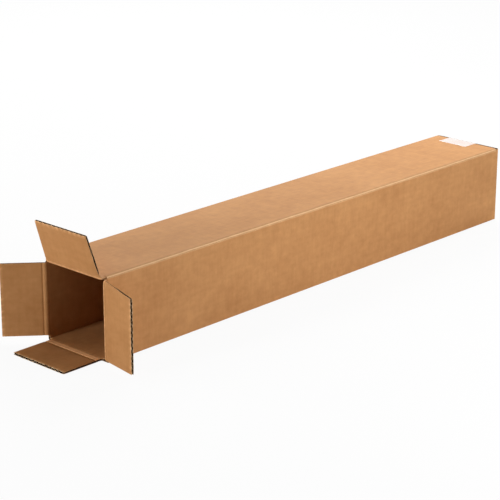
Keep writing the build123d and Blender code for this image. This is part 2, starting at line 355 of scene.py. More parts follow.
class BoardMesh:
    """A bmesh of board in flat coordinates: X is girth, Y is length, Z is depth."""

    def __init__(self, outline: Callable[[float, float], float] = lambda girth, length: girth) -> None:
        """Start with no geometry.

        Args:
            outline: girth at which a line of the given girth lies, at a place along the carton.
        """
        self.outline = outline
        self.bm = bmesh.new()
        self.sheet = self.bm.verts.layers.float_vector.new("sheet")
        # wear of the paper, also painted highlights on the fold beside the glued joint and on crease
        # bands
        self.worn = self.bm.verts.layers.float.new("worn")
        self.pressed = self.bm.verts.layers.float.new("pressed")

    def lay(self, grid: Grid, depth: float) -> list[bmesh.types.BMFace]:
        """Lay a flat sheet of paper, cut to the piece's outline.

        Args:
            grid: the sheet's lines.
            depth: of the sheet in the board.

        Returns:
            The sheet's faces.
        """
        across, down = len(grid.girths) - 1, len(grid.lengths) - 1
        before = len(self.bm.faces)
        made = bmesh.ops.create_grid(self.bm, x_segments=across, y_segments=down, size=0.5)
        for vert in made["verts"]:
            girth = grid.girths[round((vert.co.x + 0.5) * across)]
            length = grid.lengths[round((vert.co.y + 0.5) * down)]
            vert.co = (self.outline(girth, length), length, depth)
        self.bm.faces.ensure_lookup_table()
        return [self.bm.faces[index] for index in range(before, len(self.bm.faces))]

    def thicken(self, faces: list[bmesh.types.BMFace], thickness: float,
                shown: Layer, hidden: Layer) -> None:
        """Give a laid sheet its thickness, towards greater depth.

        Args:
            faces: the sheet's faces.
            thickness: of the paper.
            shown: finish of the laid faces.
            hidden: finish of the faces behind them.
        """
        for face in faces:
            face.material_index = shown
        laid = set(faces)
        made = bmesh.ops.extrude_face_region(self.bm, geom=faces, use_keep_orig=True)["geom"]
        moved = [item for item in made if isinstance(item, bmesh.types.BMVert)]
        bmesh.ops.translate(self.bm, verts=moved, vec=(0, 0, thickness))
        behind = {item for item in made if isinstance(item, bmesh.types.BMFace)}
        for vert in moved:
            for face in vert.link_faces:
                if face not in laid:
                    face.material_index = hidden if face in behind else Layer.CUT

    def facing_sheet(self, grid: Grid, inner: bool) -> None:
        """Lay one facing of the board with its thickness.

        Args:
            grid: the sheet's lines.
            inner: True for the facing inside the carton.
        """
        start = BOARD.thickness - BOARD.facing if inner else 0.0
        shown, hidden = (Layer.MEDIUM, Layer.INSIDE) if inner else (Layer.OUTSIDE, Layer.MEDIUM)
        self.thicken(self.lay(grid, start), BOARD.facing, shown, hidden)

    def medium_sheet(self, grid: Grid, height: Callable[[float], float] = lambda girth: 1.0) -> None:
        """Lay the fluted medium.

        Args:
            grid: the sheet's lines.
            height: share of the flutes' height that is left at a place round the carton.
        """
        faces = self.lay(grid, 0.0)
        middle = BOARD.thickness / 2
        for vert in {vert for face in faces for vert in face.verts}:
            full = BOARD.flute(vert.co.x) - middle
            vert.co.z = middle + full * height(vert.co.x) - BOARD.medium / 2
        self.thicken(faces, BOARD.medium, Layer.MEDIUM, Layer.MEDIUM)

    def note_places(self, worn: Callable[[Vector], float], pressed: Callable[[Vector], float]) -> None:
        """Keep each point's flat place, wear with painted highlights, and pressing as attributes for
        the finishes.

        Args:
            worn: wear of a flat place, from 0 to 1, with painted highlights on the fold beside the
                glued joint and on crease bands.
            pressed: how far a crease has smoothed a flat place, from 0 to 1.
        """
        for vert in self.bm.verts:
            vert[self.sheet] = vert.co
            vert[self.worn] = worn(vert.co)
            vert[self.pressed] = pressed(vert.co)

    def move(self, place: Callable[[Vector], Vector]) -> None:
        """Move every point by a function of its present place."""
        for vert in self.bm.verts:
            vert.co = place(vert.co)

    def finish(self, name: str, materials: Materials) -> bpy.types.Object:
        """Turn the faces outwards, shade them and make the object.

        Args:
            name: of the piece.
            materials: one for each Layer.
        """
        bmesh.ops.recalc_face_normals(self.bm, faces=self.bm.faces)
        for face in self.bm.faces:
            face.smooth = True
        for edge in self.bm.edges:
            kinds = {face.material_index for face in edge.link_faces}
            sharp = len(edge.link_faces) == 2 and edge.calc_face_angle(0.0) > HARD_EDGE
            if len(kinds) > 1 or sharp:
                edge.smooth = False
        return solid_piece(name, self.bm, materials)


def math_operator(operation: str) -> Callable[["Socket", "Socket | float"], "Socket"]:
    """An operator that joins two shader values with a Math node."""
    def join(first: "Socket", second: "Socket | float") -> "Socket":
        """Add the node."""
        return first.graph.node("ShaderNodeMath", {"operation": operation}, {0: first, 1: second})

    return join


@dataclass
class Socket:
    """A shader value that takes part in Python expressions."""

    graph: "Graph"
    socket: bpy.types.NodeSocket

    __add__ = __radd__ = math_operator("ADD")
    __sub__ = math_operator("SUBTRACT")
    __mul__ = math_operator("MULTIPLY")

    def clamped(self) -> "Socket":
        """This value, kept from 0 to 1."""
        return self.graph.node("ShaderNodeClamp", {}, {"Value": self, "Min": 0.0, "Max": 1.0})

    def ramp(self, low: float, high: float) -> "Socket":
        """0 at low and 1 at high, eased between."""
        return self.graph.node("ShaderNodeMapRange", {"interpolation_type": "SMOOTHSTEP"}, {
            "Value": self, "From Min": low, "From Max": high})


@dataclass(frozen=True)
class Pattern:
    """One layer of noise in the paper."""

    girth: float  # waves per metre round the carton
    length: float  # and along it
    offset: float
    detail: float
    roughness: float = 0.5


FIBRES = Pattern(260, 1300, 0, 3, 0.6)
STRANDS = Pattern(26, 210, 7, 3, 0.55)
CLOUDS = Pattern(95, 70, 13, 4, 0.6)
PATCHES = Pattern(16, 11, 29, 3)
GRAIN = Pattern(1500, 2200, 3, 2, 0.7)


class Graph:
    """The nodes of one material or world."""

    def __init__(self, owner: bpy.types.Material | bpy.types.World) -> None:
        """Start from an empty tree.

        Args:
            owner: of the nodes.
        """
        owner.use_nodes = True
        self.tree = owner.node_tree
        self.tree.nodes.clear()

    def node(self, kind: str, settings: dict[str, object], inputs: dict[str | int, object],
             output: str | int = 0) -> Socket:
        """Add a node.

        Args:
            kind: the node's type.
            settings: its own properties, set before its sockets.
            inputs: values or links of its sockets, by name or number.
            output: name or number of the socket to return.
        """
        made = self.tree.nodes.new(kind)
        for name, value in settings.items():
            setattr(made, name, value)
        for name, value in inputs.items():
            if isinstance(value, Socket):
                self.tree.links.new(value.socket, made.inputs[name])
            else:
                made.inputs[name].default_value = value
        return Socket(self, made.outputs[output] if len(made.outputs) else None)

    def mix(self, share: Socket, first: Socket | Colour, second: Socket | Colour) -> Socket:
        """Mix two colours: first where share is 0, second where it is 1."""
        return self.node("ShaderNodeMix", {"data_type": "RGBA"}, {0: share, 6: first, 7: second}, 2)

    def noise(self, place: Socket, scale: float, detail: float, roughness: float = 0.5) -> Socket:
        """Noise of about 0 to 1 at a place."""
        return self.node("ShaderNodeTexNoise", {"noise_dimensions": "3D"}, {
            "Vector": place, "Scale": scale, "Detail": detail, "Roughness": roughness})

    def pattern(self, place: Socket, pattern: Pattern, seed: float) -> Socket:
        """One layer of noise over the blank.

        Args:
            place: in the blank's coordinates.
            pattern: its scales and detail.
            seed: picks another part of the noise.
        """
        offset = seed + pattern.offset
        stretched = self.node("ShaderNodeMapping", {"vector_type": "POINT"}, {
            "Vector": place, "Scale": (pattern.girth, pattern.length, pattern.girth),
            "Location": (offset, offset, 0.0)})
        return self.noise(stretched, 1, pattern.detail, pattern.roughness)


def srgb(red: int, green: int, blue: int) -> Colour:
    """Linear colour of an sRGB triple."""
    def linear(value: int) -> float:
        """Linear share of one channel."""
        share = value / 255
        return share / 12.92 if share <= 0.04045 else ((share + 0.055) / 1.055) ** 2.4

    return linear(red), linear(green), linear(blue), 1.0


@dataclass(frozen=True)
class KraftFinish:
    """Kraft paper with fibres that lie round the carton, clouds, specks, worn places and painted
    highlights.
    """

    name: str
    dark: Colour
    light: Colour
    bared_and_highlight: Colour  # rubbed or torn fibres, also the colour of painted highlights on folds and crease bands
    seed: float
    streak: float = 0.42
    cloud: float = 1.0
    grain: float = 0.3
    flute_shadow: float = 0.02
    speck_range: tuple[float, float] = (0.66, 0.74)
    speck: float = 0.35
    roughness: float = 0.78
    relief: float = 0.06 * MM
    specular: float = 0.22

    def build(self) -> bpy.types.Material:
        """Make the material."""
        material = bpy.data.materials.new(self.name)
        graph = Graph(material)
        place, worn, pressed = (
            graph.node("ShaderNodeAttribute", {"attribute_name": name}, {}, output)
            for name, output in (("sheet", "Vector"), ("worn", "Fac"), ("pressed", "Fac")))
        fibres, strands, clouds, patches, grain = (
            graph.pattern(place, pattern, self.seed)
            for pattern in (FIBRES, STRANDS, CLOUDS, PATCHES, GRAIN))
        girth = graph.node("ShaderNodeSeparateXYZ", {}, {"Vector": place}, "X")
        turns = girth * (2 * math.pi / BOARD.flute_pitch)
        flutes = graph.node("ShaderNodeMath", {"operation": "SINE"}, {0: turns})

        tone = 0.5 + (fibres - 0.5) * (0.6 * self.streak) + (strands - 0.5) * self.streak
        tone = tone + (clouds - 0.5) * self.cloud + (patches - 0.5) * (0.9 * self.cloud)
        tone = tone + (grain - 0.5) * self.grain + flutes * self.flute_shadow
        colour = graph.mix(tone.clamped(), self.dark, self.light)
        colour = graph.mix(grain.ramp(*self.speck_range) * self.speck, colour, self.dark)
        # lighter where worn, and where the mask paints highlights on folds and crease bands
        ragged_and_highlight = (worn + (fibres - 0.5) * 0.9 * worn + (clouds - 0.5) * 0.8 * worn).clamped()
        colour = graph.mix(ragged_and_highlight, colour, self.bared_and_highlight)
        roughness = self.roughness + (clouds - 0.5) * 0.16 + ragged_and_highlight * 0.08 - pressed * 0.14

        height = fibres * 0.5 + strands * 0.35 + grain * 0.3 + flutes * 0.22 + ragged_and_highlight * 0.5
        normal = graph.node("ShaderNodeBump", {}, {
            "Strength": 1.0, "Distance": self.relief, "Height": height})
        shader = graph.node("ShaderNodeBsdfPrincipled", {}, {
            "Base Color": colour, "Roughness": roughness.clamped(), "Normal": normal,
            "Specular IOR Level": self.specular})
        graph.node("ShaderNodeOutputMaterial", {}, {"Surface": shader})
        return material


@dataclass(frozen=True)
class TapeFinish:
    """Thin clear film, faintly clouded by its adhesive."""

    name: str = "clear_packing_tape"
    pale: Colour = srgb(252, 228, 218)
    bright: Colour = srgb(255, 242, 236)
    relief: float = 0.25 * MM
    refraction: float = 1.47

    def build(self) -> bpy.types.Material:
        """Make the material."""
        material = bpy.data.materials.new(self.name)
        graph = Graph(material)
        place = graph.node("ShaderNodeTexCoord", {}, {}, "Object")
        clouds = graph.noise(place, 60, 3)
        pockets = graph.noise(place, 420, 2).ramp(0.52, 0.68)
        height = clouds * 0.6 + pockets * 0.25
        normal = graph.node("ShaderNodeBump", {}, {
            "Strength": 0.6, "Distance": self.relief, "Height": height})
        shader = graph.node("ShaderNodeBsdfPrincipled", {}, {
            "Base Color": graph.mix(clouds, self.pale, self.bright), "Normal": normal,
            "Roughness": (0.16 + pockets * 0.18).clamped(), "IOR": self.refraction,
            "Alpha": (0.76 + clouds * 0.2 - pockets * 0.1).clamped()})
        graph.node("ShaderNodeOutputMaterial", {}, {"Surface": shader})
        return material


@dataclass(frozen=True)
class CreaseLooks:
    """Marks of the creasing bar and of the folding, beside a fold line."""

    groove_at: float = 2.6 * MM  # from the fold line to the groove on either side
    groove_width: float = 1.1 * MM
    wall_groove: float = 0.4  # depth of the wall's groove, against the flap's
    fold_groove: float = 0.2  # and of the one in the fold line
    fold_width: float = 1.2 * MM
    squeeze: float = 0.15  # share of the thickness that a full groove takes
    dent: float = 0.18 * MM
    smooth_width: float = 4.5 * MM
    band: tuple[float, float] = (-0.9 * MM, 0.9 * MM)  # rubbed band on the inner face, lighter also as a painted highlight on the bead
    band_ease: tuple[float, float] = (1.4 * MM, 1.0 * MM)
    # strength of the lighter band: rubbed wear plus painted highlight
    rubbed: float = 0.8


@dataclass
class Crease:
    """One fold line at the mouth or at the taped end, with the wall that carries it."""

    panel: Panel
    length: float  # length coordinate of the fold line
    towards: float  # -1 where the flap lies towards the mouth, 1 towards the taped end
    open_angle: float  # of the flap at rest, from straight on, outwards
    looks: CreaseLooks = CreaseLooks()

    @property
    def girth_middle(self) -> float:
        """Girth coordinate of the wall's middle."""
        return (self.panel.value + 0.5) * SIZES.side

    def past(self, length: float) -> float:
        """How far a place along the carton lies past the fold line, towards the free edge."""
        return (length - self.length) * self.towards

    def pressed(self, flat: Vector) -> float:
        """How far the creasing bar has smoothed a flat place."""
        return bump_at(self.past(flat.y), 0, self.looks.smooth_width)

    def squeezed(self, depth: float, past: float, girth: float, fade: float) -> float:
        """Depth of a point of board once the creasing bar has been pressed into it.

        Args:
            depth: before the press.
            past: distance past the fold line.
            girth: place round the carton.
            fade: share of the bar's full pressure.
        """
        looks, width = self.looks, self.looks.groove_width
        uneven = 1 + UNEVEN_PRESS.at(girth, 0) + 0.16 * BOARD.wave(girth)
        groove = bump_at(past, looks.groove_at, width)
        groove += looks.wall_groove * bump_at(past, -looks.groove_at, width)
        groove += looks.fold_groove * bump_at(past, 0, looks.fold_width) * uneven
        dent = looks.dent * fade * bump_at(past, 0, width)
        return depth * (1 - looks.squeeze * fade * groove) + dent * (1 - depth / BOARD.thickness)

    def rubbed_band_and_highlight(self, past: float, girth: float) -> float:
        """Lighter band on the inner face beside the fold line: rubbed wear and a painted highlight on
        the crease bead.

        Args:
            past: distance past the fold line.
            girth: place round the carton.
        """
        past += 0.25 * MM * BOARD.wave(girth) + RUBBED_WANDER.at(girth, 0)
        (low, high), (low_ease, high_ease) = self.looks.band, self.looks.band_ease
        inside = smoothstep((past - low) / low_ease + 0.5) * smoothstep((high - past) / high_ease + 0.5)
        return self.looks.rubbed * inside * (1 + RUBBED_PATCHES.at(girth, past))

    def frame_point(self, girth: float, along: float, out: float) -> Vector:
        """A place in the frame.

        Args:
            girth: place round the carton.
            along: distance past the fold line, along the carton.
            out: distance outwards from the wall's outer face.
        """
        outward, across = self.panel.outward, self.panel.across
        middle = Vector((self.length, 0, SIZES.half)) + outward * SIZES.half
        reach = Vector((self.towards * along, 0, 0))
        return middle + across * (girth - self.girth_middle) + reach + outward * out


@dataclass
class MouthFlap:
    """A hinged flap at the mouth, with the strip of wall between its crease and the slots' bottoms."""

    body: str
    crease: Crease
    low: float  # side edges as girth coordinates; at the free edge, where the flap is tapered
    high: float
    seed: float
    base_low: float | None = None  # side edges at the crease of a tapered flap
    base_high: float | None = None
    foot_high: float = 0.0  # how far the strip beside the crease runs on past the higher side edge
    foot_end: float = 3.4 * MM  # where the foot ends, past the crease
    foot_ease: float = 2.4 * MM
    corner_gap: float = 0.8 * MM  # least distance of the foot from the carton's corner
    bend_before: float = 1.9 * MM
    bend_after: float = 2.0 * MM
    side_worn: float = 0.25
    torn_low: float = 0.25  # wear of the lower side edge near the crease
    torn_end: float = 30 * MM
    torn_ease: float = 12 * MM
    edge_left: float = 0.86  # share of the thickness that the cutting die left at the free edge
    side_left: float = 0.62
    recess: float = 0.1 * MM  # of the medium behind the facings' free edges
    flute_step: float = 0.62 * MM
    facing_step: float = 2.6 * MM
    crease_step: float = 0.42 * MM
    length_step: float = 3.4 * MM

    @property
    def start(self) -> float:
        """The slots' bottoms, as a distance past the crease."""
        return self.crease.past(SIZES.wall_start)

    def side_edges(self, past: float) -> tuple[float, float]:
        """Girth of the two side edges at a distance past the crease, with the slots' round ends."""
        corner_low = self.crease.panel.value * SIZES.side
        corner_high = corner_low + SIZES.side
        share = min(max(past / FLAP_REACH, 0.0), 1.0)
        base_low = self.low if self.base_low is None else self.base_low
        base_high = self.high if self.base_high is None else self.base_high
        low = base_low + (self.low - base_low) * share
        high = base_high + (self.high - base_high) * share
        high += self.slot_rounding(past - self.start, corner_high - base_high)
        if self.foot_high:
            foot = self.foot_high * smoothstep((self.foot_end - past) / self.foot_ease)
            high = min(high + foot, corner_high - self.corner_gap)
        return low - self.slot_rounding(past - self.start, base_low - corner_low), high

    @staticmethod
    def slot_rounding(rise: float, half_width: float) -> float:
        """How far a slot's rounded bottom narrows it.

        Args:
            rise: distance from the slot's bottom.
            half_width: from the carton's corner to the slot's side.
        """
        radius = min(SIZES.slot_end_radius, half_width / 2)
        if rise >= radius:
            return 0.0
        return radius - math.sqrt(max(radius**2 - (radius - rise) ** 2, 0.0))

    def outline(self, girth: float, length: float) -> float:
        """Girth at which a line laid between low and high lies, at a place along the carton."""
        low, high = self.side_edges(self.crease.past(length))
        return low + (high - low) * (girth - self.low) / (self.high - self.low)

    def torn(self, past: float) -> float:
        """Wear of the lower side edge: the half beside the crease can be torn."""
        near = smoothstep((self.torn_end - past) / self.torn_ease)
        return self.side_worn + (self.torn_low - self.side_worn) * near

    def worn(self, flat: Vector) -> float:
        """Wear of a flat place: the free edge on the flutes' crests and the sides, with a lighter
        crease band that is partly rubbed wear and partly painted highlight.
        """
        past = self.crease.past(flat.y)
        inner = flat.z > BOARD.thickness / 2
        side_low, side_high = self.side_edges(past)
        crests = 1 + 0.6 * BOARD.wave(flat.x) * (1 if inner else -1)
        edges = 1.1 * fading(FLAP_REACH - past, 1.0 * MM) * crests
        edges += self.torn(past) * fading(flat.x - side_low, 0.7 * MM)
        edges += self.side_worn * fading(side_high - flat.x, 0.55 * MM)
        patchy = 0.6 + FLAP_PATCHES.at(flat.x, flat.y, self.seed)
        # lighter crease band: rubbed wear and a painted highlight on the bead
        crease_band_and_highlight = self.crease.rubbed_band_and_highlight(past, flat.x) if inner else 0.14 * bump_at(past, 0, 1.9 * MM)
        return min(max(edges * patchy + crease_band_and_highlight, 0.0), 1.0)

    def shape(self, flat: Vector) -> Vector:
        """Crush, fray and fold one flat point into place."""
        crease = self.crease
        past = crease.past(flat.y)
        girth, depth = flat.x, flat.z
        side_low, side_high = self.side_edges(past)
        from_low, from_high = girth - side_low, side_high - girth
        left = self.side_left
        if from_low < from_high:
            left -= 0.75 * (self.torn(past) - self.side_worn)
        elif self.foot_high:
            left -= 0.5 * smoothstep((7 * MM - past) / (3 * MM))
        depth = crushed(depth, min(from_low, from_high), left, 1.6 * MM)
        depth = crushed(depth, FLAP_REACH - past, self.edge_left, 2.2 * MM)
        fray = FRAY.at(girth, depth, self.seed) + FINE_FRAY.at(girth, depth, self.seed)
        past -= 0.11 * MM * (fray + 1.6) * at_free_edge(past)
        side = 0.10 * MM * (1 + SIDE_FRAY.at(past, depth, self.seed))
        girth += side * (fading(from_low, 0.6 * MM) - fading(from_high, 0.6 * MM))
        depth = crease.squeezed(depth, past, girth, corner_fade(girth))
        bend = self.bend_before + self.bend_after
        angle = crease.open_angle * smoothstep((past + self.bend_before) / bend)
        along = past * math.cos(angle) + depth * math.sin(angle)
        out = past * math.sin(angle) - depth * math.cos(angle)
        return crease.frame_point(girth, along, out)

    def mesh(self) -> BoardMesh:
        """The flap's board, folded into place."""
        crease = self.crease
        rows = banded((self.start, CREASE_STRIP, FLAP_REACH - EDGE_STRIP, FLAP_REACH),
                      (self.crease_step, self.length_step, EDGE_STEP))
        lengths = sorted(crease.length + crease.towards * value for value in rows)
        facing = Grid(facing_girths(self.low, self.high, self.facing_step), lengths)
        span = self.high - self.low
        margin = 0.25 * MM
        medium = spread(self.low + margin, self.high - margin, span / round(span / self.flute_step))
        medium_end = FLAP_REACH - self.recess
        inside = [value for value in lengths if crease.past(value) < medium_end]
        inside.append(crease.length + crease.towards * medium_end)
        return folded(self, BoardMesh(self.outline), facing, Grid(medium, sorted(inside)))

    def rest_point(self, past: float) -> Vector:
        """Place on the outer face at rest, in the middle of the flap's width."""
        crease = self.crease
        angle = crease.open_angle if past > 0 else 0.0
        return crease.frame_point(crease.girth_middle, past * math.cos(angle), past * math.sin(angle))

    def build(self, materials: Materials) -> bpy.types.Object:
        """Make the flap, bend it over its crease and hide its CAD part.

        Args:
            materials: one for each Layer.
        """
        piece = self.mesh().finish(self.body + "_board", materials)
        start = self.rest_point(-self.bend_before)
        end = self.rest_point(self.bend_after)
        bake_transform(piece)
        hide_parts(self.body)
        return piece


@dataclass
class TapedFlap:
    """A flap folded square across the taped end."""

    crease: Crease
    width: float
    seed: float
    pressure: float = 0.6  # share of the creasing bar's marks that shows
    flute_step: float = 0.65 * MM
    facing_step: float = 3.2 * MM
    crease_step: float = 0.45 * MM
    length_step: float = 4 * MM
    margin: float = 0.3 * MM  # of the medium behind the facings' edges

    def shape(self, flat: Vector) -> Vector:
        """Crush and fold one flat point into place."""
        past = self.crease.past(flat.y)
        depth = self.crease.squeezed(flat.z, past, flat.x, self.pressure)
        fray = 1 + FRAY.at(flat.x, flat.z, self.seed)
        past -= 0.10 * MM * fray * at_free_edge(past)
        along, inward = corner_path(past, depth, SIZES.end_fold_radius, SIZES.fold_inside_radius)
        return self.crease.frame_point(flat.x, along, -inward)

    def worn(self, flat: Vector) -> float:
        """Wear of a flat place."""
        past = self.crease.past(flat.y)
        patchy = 0.7 + TAPED_PATCHES.at(flat.x, flat.y, self.seed)
        aside = flat.x - self.crease.girth_middle
        edge = min(abs(aside + self.width / 2), abs(aside - self.width / 2), abs(FLAP_REACH - past))
        total = 0.3 * fading(edge, 0.5 * MM) * patchy + 0.3 * bump_at(past, 0, 1.8 * MM)
        return min(max(total, 0.0), 1.0)

    def mesh(self) -> BoardMesh:
        """The flap's board, folded into place."""
        crease = self.crease
        low = crease.girth_middle - self.width / 2
        high = crease.girth_middle + self.width / 2
        rows = banded((crease.past(SIZES.wall_end), CREASE_STRIP, FLAP_REACH),
                      (self.crease_step, self.length_step))
        lengths = [crease.length + crease.towards * value for value in rows]
        inside = [value for value in lengths if crease.past(value) < FLAP_REACH - self.margin]
        facing = Grid(facing_girths(low, high, self.facing_step), lengths)
        medium = spread(low + self.margin, high - self.margin, self.flute_step)
        return folded(self, BoardMesh(), facing, Grid(medium, inside))


def folded(flap: MouthFlap | TapedFlap, mesh: BoardMesh, facing: Grid, medium: Grid) -> BoardMesh:
    """Lay a flap's board and fold it into place.

    Args:
        flap: what the board becomes.
        mesh: an empty one, with the flap's outline.
        facing: lines of both facings.
        medium: lines of the sheet between them.
    """
    mesh.facing_sheet(facing, inner=False)
    mesh.facing_sheet(facing, inner=True)
    mesh.medium_sheet(medium)
    mesh.note_places(flap.worn, flap.crease.pressed)
    mesh.move(flap.shape)
    return mesh


@dataclass
class CartonWalls:
    """The four walls from the slots at the mouth to those at the taped end, with the glued joint."""

    creases: dict[Panel, Crease]
    fold_strip: float = 5.6 * MM  # finely meshed on both sides of a long fold
    fold_step: float = 0.56 * MM
    panel_step: float = 7.0 * MM
    length_step: float = 6.2 * MM
    mouth_step: float = 0.5 * MM
    taped_step: float = 0.6 * MM
    flute_step: float = 0.65 * MM
    medium_reach: float = 11 * MM  # the medium is laid only this deep beside the slots
    medium_step: float = 3.5 * MM
    medium_recess: float = 0.5 * MM
    corner_band: float = 14 * MM
    joint_lap: float = 5.0 * MM  # how far the top panel runs on past its fold at the glued joint
    tab_width: float = 30 * MM
    tab_thickness: float = 2.2 * MM
    tab_clearance: float = 6 * MM
    tab_taper: float = 10 * MM

    def girth_lines(self, low: float, high: float) -> list[float]:
        """Places round the carton, close together at the long folds."""
        bounds = [corner * SIZES.side + way * self.fold_strip for corner in range(5) for way in (-1, 1)]
        everywhere = banded(bounds, [self.fold_step, self.panel_step] * 4 + [self.fold_step])
        return merged([low], [value for value in everywhere if low < value < high], [high])

    def length_lines(self) -> list[float]:
        """Places along the carton, close together at both ends."""
        start, end = SIZES.wall_start, SIZES.wall_end
        return banded((start, start + CREASE_STRIP, end - CREASE_STRIP, end),
                      (self.mouth_step, self.length_step, self.taped_step))

    def section(self, girth: float, depth: float) -> tuple[float, float]:
        """Y and Z of a flat place, from its girth and depth."""
        side, half = SIZES.side, SIZES.half
        corners = [Vector((-half, side)), Vector((-half, 0)), Vector((half, 0)),
                   Vector((half, side)), Vector((-half + SIZES.seam_step, side))]
        ways = [panel.across.yz for panel in (*Panel, Panel.FRONT)]
        nearest = min(max(round(girth / side), 0), 4)
        if nearest == 0:
            return -half + depth, side - girth
        past = girth - nearest * side
        if nearest == 4:
            past += SIZES.seam_step * smoothstep((past + 20 * MM) / (14 * MM))
        along, inward = corner_path(past, depth, SIZES.fold_radius, SIZES.fold_inside_radius)
        place = corners[nearest] + ways[nearest - 1] * along + ways[nearest] * inward
        return place.x, place.y

    def press(self, flat: Vector) -> float:
        """Depth of a flat place after the creases, long folds and handling have shaped it."""
        crease = self.creases[Panel(min(int(max(flat.x, 0) / SIZES.side), 3))]
        fade = corner_fade(flat.x)
        depth = crease.squeezed(flat.z, crease.past(flat.y), flat.x, fade)
        from_ends = min(flat.y - SIZES.wall_start, SIZES.wall_end - flat.y)
        calm = smoothstep((from_ends - 6 * MM) / (30 * MM)) * fade
        bow = BOW.at(flat.x, flat.y) + SMALL_BOW.at(flat.x, flat.y)
        return depth + calm * 0.16 * MM * (bow + 1.1)

    def shape(self, flat: Vector) -> Vector:
        """Fold one flat point into place. The cut edge at the glued joint isn't quite straight."""
        wobble = SEAM_WANDER.at(0, flat.y) + SEAM_SHAKE.at(0, flat.y)
        near_seam = smoothstep((SIZES.seam_drop + 6 * MM - flat.x) / (6 * MM))
        y, z = self.section(flat.x + wobble * near_seam, self.press(flat))
        return Vector((flat.y, y, z))

    def worn(self, flat: Vector) -> float:
        """Wear of a flat place: rubbed long folds, and on the fold beside the glued joint rubbed wear
        with a painted highlight.
        """
        girth, length = flat.x, flat.y
        if flat.z > BOARD.thickness / 2:
            return 0.0
        total = 0.0
        for corner, rubbed in ((1, 0.30), (2, 0.22), (3, 0.26)):
            middle = corner * SIZES.side + FOLD_WANDER.at(0, length, corner)
            patchy = 1 + FOLD_PATCHES.at(0, length, corner)
            total += rubbed * bump_at(girth, middle, 1.5 * MM) * patchy
        # Painted highlight along the rounded fold beside the glued joint, laid over its rubbed wear.
        fold = 4 * SIZES.side + 0.9 * MM + SEAM_FOLD_WANDER.at(0, length)
        patchy = 1 + SEAM_FOLD_PATCHES.at(0, length)
        total += 1.5 * bump_at(girth, fold, 0.92 * MM) * patchy
        raw = fading(girth - SIZES.seam_drop, 0.45 * MM)
        total += 0.8 * raw * (0.8 + SEAM_PATCHES.at(0, length))
        slot = fading(length - SIZES.wall_start, 0.5 * MM) * (1 - corner_fade(girth))
        return min(max(total + 0.4 * slot, 0.0), 1.0)

    @staticmethod
    def pressed(flat: Vector) -> float:
        """How far folding has smoothed a flat place."""
        nearest = round(flat.x / SIZES.side) * SIZES.side
        return bump_at(flat.x, nearest, 3.2 * MM)

    @staticmethod
    def medium_left(girth: float) -> float:
        """Share of the flutes' height that the long folds leave."""
        nearest = round(girth / SIZES.side) * SIZES.side
        return 1 - 0.6 * bump_at(girth, nearest, 3.0 * MM)

    def tab(self) -> BoardMesh:
        """The joint's glued tab: crushed board inside the front wall, with tapered ends."""
        start = SIZES.wall_start + self.tab_clearance
        end = SIZES.wall_end - BOARD.thickness - self.tab_clearance + SIZES.slot_past_crease
        middle = (start + end) / 2
        room = (end - start) / 2

        def place(flat: Vector) -> Vector:
            """Taper the ends and ease the free edge."""
            share = (flat.x - BOARD.thickness) / self.tab_width
            length = middle + (flat.y - middle) * (room - self.tab_taper * share) / room
            inner = flat.z > BOARD.thickness + MM
            ease = 0.9 * MM * smoothstep((share - 0.9) / 0.1) if inner else 0.0
            return Vector((length, -SIZES.half + flat.z - ease, SIZES.side - flat.x))

        mesh = BoardMesh()
        girths = spread(BOARD.thickness, BOARD.thickness + self.tab_width, 3.0 * MM)
        faces = mesh.lay(Grid(girths, spread(start, end, 12 * MM)), BOARD.thickness)
        mesh.thicken(faces, self.tab_thickness, Layer.INSIDE, Layer.INSIDE)
        mesh.note_places(lambda flat: 0.0, lambda flat: 0.6)
        mesh.move(place)
        return mesh

    def boards(self) -> list[BoardMesh]:
        """The facings, the medium beside the slots and the tab."""
        first, last = SIZES.seam_drop, 4 * SIZES.side + self.joint_lap
        inner_first = BOARD.thickness + SIZES.fold_inside_radius
        lengths = self.length_lines()
        walls = BoardMesh()
        walls.facing_sheet(Grid(self.girth_lines(first, last), lengths), inner=False)
        walls.facing_sheet(Grid(self.girth_lines(inner_first, last), lengths), inner=True)
        start, end = SIZES.wall_start, SIZES.wall_end
        near_mouth = spread(start + self.medium_recess, start + self.medium_reach, self.medium_step)
        near_tape = spread(end - self.medium_reach, end - self.medium_recess, self.medium_step)
        for corner in range(5):
            low = max(corner * SIZES.side - self.corner_band, first + 0.3 * MM)
            high = min(corner * SIZES.side + self.corner_band, last - 2.0 * MM)
            for rows in near_mouth, near_tape:
                walls.medium_sheet(Grid(spread(low, high, self.flute_step), rows), self.medium_left)
        walls.note_places(self.worn, self.pressed)
        walls.move(self.shape)
        return [walls, self.tab()]


def joined(name: str, meshes: Sequence[BoardMesh], materials: Materials) -> bpy.types.Object:
    """Make one object of several board meshes.

    Args:
        name: of the piece.
        meshes: what it is made of.
        materials: one for each Layer.
    """
    parts = [mesh.finish(f"{name}_{index}", materials) for index, mesh in enumerate(meshes)]
    with bpy.context.temp_override(active_object=parts[0], object=parts[0], selected_objects=parts,
                                   selected_editable_objects=parts):
        bpy.ops.object.join()
    parts[0].name = name
    parts[0].data.name = name
    return parts[0]


